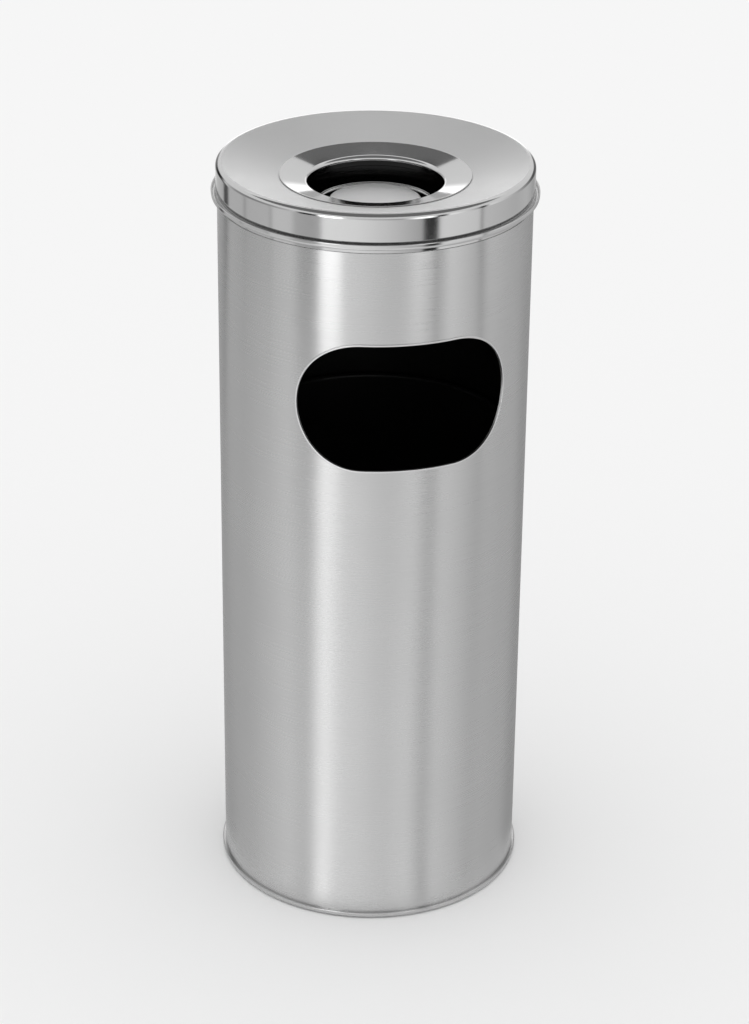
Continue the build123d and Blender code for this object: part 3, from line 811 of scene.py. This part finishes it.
def grip_mesh():
    """Moulded tube round the middle of the bail, with finger ribs and closed ends."""
    half, around, ribs, along, along_bore = 20.0, 28, 13, 130, 40
    bore = BAIL_WIRE + 0.05
    points = []

    def ring(angle, radius):
        for s in range(around):
            t = 2 * pi * s / around
            out = bail_arc + radius * cos(t)
            points.append((out * cos(angle), out * sin(angle), radius * sin(t)))
        return range(len(points) - around, len(points))

    first, last = radians(90 - half), radians(90 + half)
    outside = [ring(first, bore)]
    for k in range(along + 1):
        share = k / along
        ease = min(share, 1 - share) * along
        rib = 0.35 * (1 - cos(2 * pi * ribs * share)) / 2
        outside.append(ring(radians(90 - half + 2 * half * share),
                            GRIP - rib - (0.5 if ease < 1 else 0.12 if ease < 2 else 0.0)))
    outside.append(ring(last, bore))
    inside = [ring(first + (last - first) * i / along_bore, bore) for i in range(1, along_bore)]
    faces = strips(outside) + strips([outside[0]] + inside + [outside[-1]])
    mesh = build_mesh("grip", points, faces)
    mesh.transform(bail_place)
    return mesh


hand_over(finish_mesh("bail_grip_ribbed", grip_mesh(), black_plastic), "bail", "bail_grip")

# ---- lid ----
LID_SHEET = 1.0
CORNER = 4.2
slope = radians(15.0)
skirt_radius = shell_radius + LID_SHEET
skirt_inner = skirt_radius - LID_SHEET
curl = (curl_reach - skirt_inner) / 2
LID_OPENING = 70.0
opening = LID_OPENING + LID_SHEET
corner_centre = (skirt_radius - CORNER, rim_z - CORNER)
corner_inner = CORNER - LID_SHEET
dish_start = (corner_centre[0] - corner_inner * sin(slope), corner_centre[1] + corner_inner * cos(slope))


def dish_under(radius):
    return dish_start[1] - (dish_start[0] - radius) * tan(slope)


lid_path = bend_path([(opening, dish_under(opening) - 4.5), (opening, dish_under(opening), 1.5),
                      (95.0, dish_under(95.0)), dish_start])
lid_path += arc(corner_centre, corner_inner, 90 + degrees(slope), 0)[1:]
lid_path += arc((skirt_inner + curl, curl_z + curl), curl, 180, 360)
lid_path += [Vector((skirt_inner + 2 * curl, curl_z + 2 * curl))]
lid = second_finish(turned("lid_drawn", sheet_outline(lid_path, LID_SHEET), polished_steel), ground_steel,
                    lambda middle, normal: hypot(middle.x, middle.y) < corner_centre[0] - 0.3
                    and middle.z > rim_z - 20)
hand_over(lid, "lid", "lid_cover")

# ---- ash bowl ----
ASH_SHEET = 0.8
ASH_HOLE = 53.0
ring_slope = radians(12.6)
flange_low = dish_under(ring_radius) + LID_SHEET / cos(slope) + 0.1
hole = ASH_HOLE + ASH_SHEET


def flange_under(radius):
    return flange_low - (ring_radius - radius) * tan(ring_slope)


# The ring is bright on top, and black inside the hole and under the flange: painted shade in the hole and
# under the flange.
ring_path = bend_path([(hole, ring_low), (hole, flange_under(hole), 2.7), (ring_radius, flange_low)])
ring = second_finish(turned("ash_ring_spun", sheet_outline(ring_path, ASH_SHEET), spun_steel), painted_shade_black_gloss,
                     lambda middle, normal: middle.z < flange_under(hole) - 2.3
                     or normal.z < -0.5 and hypot(middle.x, middle.y) < pan_reach)
hand_over(ring, "ash_bowl", "bowl_ring")

weld_step = ASH_SHEET / cos(ring_slope) + 0.02
pan_path = bend_path([(0.0, pan_low), (58.0, pan_low, 10.0), (62.0, flange_under(62.0) - weld_step, 1.2),
                      (pan_reach, flange_under(pan_reach) - weld_step)])
# The pan is glossy black: painted shade down in the bowl.
pan = turned("pan", sheet_outline(pan_path, ASH_SHEET), painted_shade_black_gloss)
BOLT, BOLT_HOLE = 3.0, 3.1
drill = drill_bit(BOLT_HOLE, (pan_low - 3, pan_low + 4))
hand_over(bored(pan, drill, "ash_pan_drawn", painted_shade_black_gloss), "ash_bowl", "bowl_pan")

PLATE_SHEET = 1.0
disc_inner = 35.9
disc_under, tray_under = plate_top - PLATE_SHEET, plate_top - 3.8 - PLATE_SHEET
plate_path = bend_path([(0.0, disc_under), (disc_inner, disc_under, 0.8), (disc_inner, tray_under, 1.2),
                        (plate_radius, tray_under, 1.6), (plate_radius, tray_under + 2.4)])
# The top of the disc takes the pale satin, which paints light on it in the bowl's hollow.
plate = second_finish(turned("stub_plate_pressed", sheet_outline(plate_path, PLATE_SHEET), spun_steel),
                      pale_satin_painted_light, lambda middle, normal: (hypot(middle.x, middle.y) < disc_inner - 0.3
                                                           and normal.z > 0.9))
hand_over(plate, "ash_bowl", "stub_plate")

pan_top = pan_low + ASH_SHEET
NUT_FLATS, NUT_HEIGHT, HEAD_HEIGHT, PAN_WASHER = 10.0, 5.0, 4.0, 1.0
nut_low = plate_top - PLATE_SHEET - NUT_HEIGHT
spacer = turned("plate_spacer_tube", bend_loop([(BOLT_HOLE, pan_top, 0.3), (7.0, pan_top, 0.3),
                                                (7.0, nut_low, 0.3), (BOLT_HOLE, nut_low, 0.3)]),
                zinc_steel, steps=64)
hand_over(spacer, "ash_bowl", "plate_spacer")
nut = hexagon(NUT_FLATS, BOLT, nut_low, nut_low + NUT_HEIGHT, 0.0)
hand_over(finish_mesh("plate_nut_hexagon", nut, zinc_steel, 20), "ash_bowl", "plate_nut")
washer_low = pan_low - PAN_WASHER
washer = turned("pan_washer_punched", bend_loop([(BOLT_HOLE, washer_low, 0.1), (7.5, washer_low, 0.25),
                                                 (7.5, pan_low, 0.25), (BOLT_HOLE, pan_low, 0.1)]),
                zinc_steel, steps=64)
hand_over(washer, "ash_bowl", "pan_washer")
thread_from = 575.0
bolt = bmesh.new()
bolt.from_mesh(hexagon(NUT_FLATS, 0.0, washer_low - HEAD_HEIGHT, washer_low, 0.0))
bolt.from_mesh(turned_mesh("shank", bend_path([(0.0, washer_low - 0.2), (BOLT, washer_low - 0.2),
                                               (BOLT, thread_from)]
                                              + threaded(BOLT, thread_from, plate_top - 1.6, 1.0, 0.35)),
                           steps=40))
bolt_mesh = bpy.data.meshes.new("plate_screw_hexagon")
bolt.to_mesh(bolt_mesh)
bolt.free()
hand_over(finish_mesh("plate_screw_hexagon", bolt_mesh, zinc_steel, 25), "ash_bowl",
          "plate_screw")

# The wire inside the rolled rim keeps its shape.
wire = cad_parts["liner_rim_wire"]
wire.data.materials.clear()
wire.data.materials.append(zinc_steel)

# ---- floor and light ----
floor_material, tree = new_material("floor_matt_white")
place = add(tree, "ShaderNodeTexCoord").outputs["Object"]
mottle = add(tree, "ShaderNodeTexNoise", Vector=place, Scale=300.0, Detail=3.0)
shade = add(tree, "ShaderNodeMapRange", Value=mottle.outputs["Fac"], To_Min=0.995, To_Max=1.005)
shade = add(tree, "ShaderNodeVectorMath", {"operation": "SCALE"}, i0=linear("F3F3F3")[:3], Scale=shade)
matt = add(tree, "ShaderNodeBsdfDiffuse", Color=shade)
add(tree, "ShaderNodeOutputMaterial", Surface=matt)
floor_mesh = bpy.data.meshes.new("floor")
FLOOR_REACH = 60
floor_mesh.from_pydata([(-FLOOR_REACH, -FLOOR_REACH, 0), (FLOOR_REACH, -FLOOR_REACH, 0),
                        (FLOOR_REACH, FLOOR_REACH, 0), (-FLOOR_REACH, FLOOR_REACH, 0)], [], [(0, 1, 2, 3)])
floor_mesh.materials.append(floor_material)
placed("floor", floor_mesh)

world = bpy.data.worlds.new("studio")
bpy.context.scene.world = world
world.use_nodes = True
sky = world.node_tree.nodes["Background"].inputs
sky["Color"].default_value, sky["Strength"].default_value = (1.0, 1.0, 1.0, 1.0), 1.03

# Ring of studio cards round the bin and on the floor, which only reflections see. Each
# pattern lists how bright the ring is in a direction: 0 degrees is the camera's side, and
# 90 is to its right. From the floor up the ring shows the floor's pattern, the skirt's and
# the high one, each with a soft change to the next, and it is even above them.
SKIRT_CARDS = [(-180, 0.80), (-164, 0.90), (-150, 0.60), (-132, 0.55), (-130, 0.08), (-124, 0.08),
               (-121, 0.62), (-102, 0.62), (-100, 0.42), (-97, 0.62), (-76, 0.64), (-74, 0.44), (-72, 0.76),
               (-58, 0.76), (-54, 0.55), (-42, 0.50), (-37, 0.53), (-34, 1.05), (-12, 1.02), (8, 0.82),
               (28, 0.56), (31, 0.5), (33, 0.03), (41, 0.03), (44, 0.96), (74, 0.84), (76, 0.30), (78, 0.74),
               (112, 0.60), (130, 0.62), (148, 0.40), (180, 0.80)]
FLOOR_CARDS = [(-180, 0.50), (-136, 0.46), (-128, 0.56), (-112, 0.60), (-97, 0.64), (-84, 0.74), (-72, 0.81),
               (-61, 0.89), (-51, 0.79), (-46, 0.78), (-42, 0.92), (-38, 1.28), (-32, 1.40), (-28, 1.20),
               (-23, 1.05), (-15, 1.00), (-6, 0.96), (2, 0.90), (11, 0.87), (20, 0.92), (27, 0.93),
               (33, 0.80), (38, 0.64), (42, 0.72), (47, 0.88), (56, 0.81), (67, 0.73), (77, 0.61),
               (90, 0.65), (104, 0.60), (122, 0.60), (136, 0.40)]
HIGH_CARDS = [(-180, 1.80), (-164, 1.80), (-158, 0.40), (-138, 0.02), (-129, 0.02), (-121, 0.72),
              (-105, 0.36), (-90, 0.30), (-72, 0.40), (-60, 0.60), (-53, 0.80), (-49, 0.0), (-38, 0.0),
              (-34, 3.6), (-23, 3.6), (-20, 0.90), (0, 0.66), (17, 0.50), (22, 0.90), (27, 1.8), (36, 2.4),
              (39, 0.9), (41, 0.0), (46, 0.0), (49, 1.3), (71, 0.55), (73, 0.0), (76, 0.0), (80, 1.05),
              (137, 0.10), (157, 0.20), (164, 1.80)]
BRIGHTEST = 3.6             # the ramps hold 0 to 1, for 0 to this
FLOOR_TO_SKIRT, SKIRT_TO_HIGH, HIGH_TO_TOP = (0.27, 0.31), (0.42, 0.48), (0.72, 0.80)
TOP_LEVEL = 0.88
CARD_RING, CARD_FOOT, CARD_TOP, CARD_STEPS = 0.8, 0.002, 1.25, 180
FLOOR_HOLE = 0.175          # radius of the gap in the floor's cards, as a share of the ring's


def stage_card(name, material, tree, level, points, faces):
    """Card of the brightness given, turned to face the camera, that only reflections see."""
    glow = add(tree, "ShaderNodeEmission", Strength=level)
    add(tree, "ShaderNodeOutputMaterial", Surface=glow)
    mesh = bpy.data.meshes.new(name)
    mesh.from_pydata(points, [], faces)
    mesh.materials.append(material)
    card = placed(name, mesh)
    card.rotation_euler.z = EYE_AZIMUTH
    card.visible_camera = card.visible_diffuse = card.visible_shadow = False
    card.visible_transmission = card.visible_volume_scatter = False


cards_material, tree = new_material("studio_cards")
place = place_parts(tree)
behind = calc(tree, "MULTIPLY", place["Y"], -1.0)
facing = calc(tree, "ARCTAN2", place["X"], behind)
# On the floor a reflection lands nearer to the bin, so there the pattern is drawn in towards
# the camera's side, which keeps the streaks upright down to the foot.
level_place = add(tree, "ShaderNodeCombineXYZ", X=place["X"], Y=place["Y"])
reach = add(tree, "ShaderNodeVectorMath", {"operation": "LENGTH"}, i0=level_place)
shrink = calc(tree, "DIVIDE", shell_radius * MM, reach.outputs["Value"])
shrink = calc(tree, "SUBTRACT", 2.0, shrink)
spread = calc(tree, "DIVIDE", 2.0 - shell_radius * MM / CARD_RING, shrink)
facing = calc(tree, "MULTIPLY", facing, spread)
share = add(tree, "ShaderNodeMapRange", Value=facing, From_Min=-pi, From_Max=pi)
skirt_ramp, floor_ramp, high_ramp = (ramp(tree, share, [((a + 180) / 360, b / BRIGHTEST) for a, b in pattern])
                                     for pattern in (SKIRT_CARDS, FLOOR_CARDS, HIGH_CARDS))
upper = fade(tree, place["Z"], *SKIRT_TO_HIGH)
middle = fade(tree, place["Z"], *FLOOR_TO_SKIRT)
level = mix(tree, upper, mix(tree, middle, floor_ramp, skirt_ramp), high_ramp)
level = calc(tree, "MULTIPLY", level, BRIGHTEST)
level = mix(tree, fade(tree, place["Z"], *HIGH_TO_TOP), level, TOP_LEVEL)
ring_points = [(CARD_RING * sin(2 * pi * i / CARD_STEPS), -CARD_RING * cos(2 * pi * i / CARD_STEPS), z)
               for z in (CARD_FOOT, CARD_TOP) for i in range(CARD_STEPS)]
foot_points = [(x * FLOOR_HOLE, y * FLOOR_HOLE, z) for x, y, z in ring_points[:CARD_STEPS]]
foot, head, hole = (range(n * CARD_STEPS, (n + 1) * CARD_STEPS) for n in range(3))
stage_card("cards", cards_material, tree, level, ring_points + foot_points,
           strips([foot, head]) + strips([foot, hole]))

# Ceiling over the ring: dim on the camera's side and bright behind the bin.
ceiling_material, tree = new_material("studio_ceiling")
place = place_parts(tree)
stage_card("ceiling", ceiling_material, tree, fade(tree, place["Y"], 0.25, 0.45, 0.20, 1.0),
           ring_points[CARD_STEPS:], [tuple(range(CARD_STEPS))])

# Dark cloth at the back, hung inside the ring of cards and folded in under the ceiling,
# which darkens the far side of the bowl's ring.
FLAG_HALF, FLAG_LOW, FLAG_FOLD, FLAG_GAP, FLAG_STEPS = radians(9.3), 1.06, 0.70, 0.005, 12
flag_material, tree = new_material("studio_flag")
place = place_parts(tree)
aside = calc(tree, "ABSOLUTE", place["X"])
flag_points = []
for i in range(FLAG_STEPS + 1):
    a = pi - FLAG_HALF + 2 * FLAG_HALF * i / FLAG_STEPS
    for reach, z in ((CARD_RING - FLAG_GAP, FLAG_LOW), (CARD_RING - FLAG_GAP, CARD_TOP - FLAG_GAP),
                     (FLAG_FOLD, CARD_TOP - FLAG_GAP)):
        flag_points.append((reach * sin(a), -reach * cos(a), z))
stage_card("flag_back", flag_material, tree, fade(tree, aside, 0.07, 0.10, 0.19, 0.03), flag_points,
           [(i + k, i + 3 + k, i + 4 + k, i + 1 + k) for i in range(0, 3 * FLAG_STEPS, 3) for k in (0, 1)])

bpy.context.scene.view_settings.view_transform = "Standard"
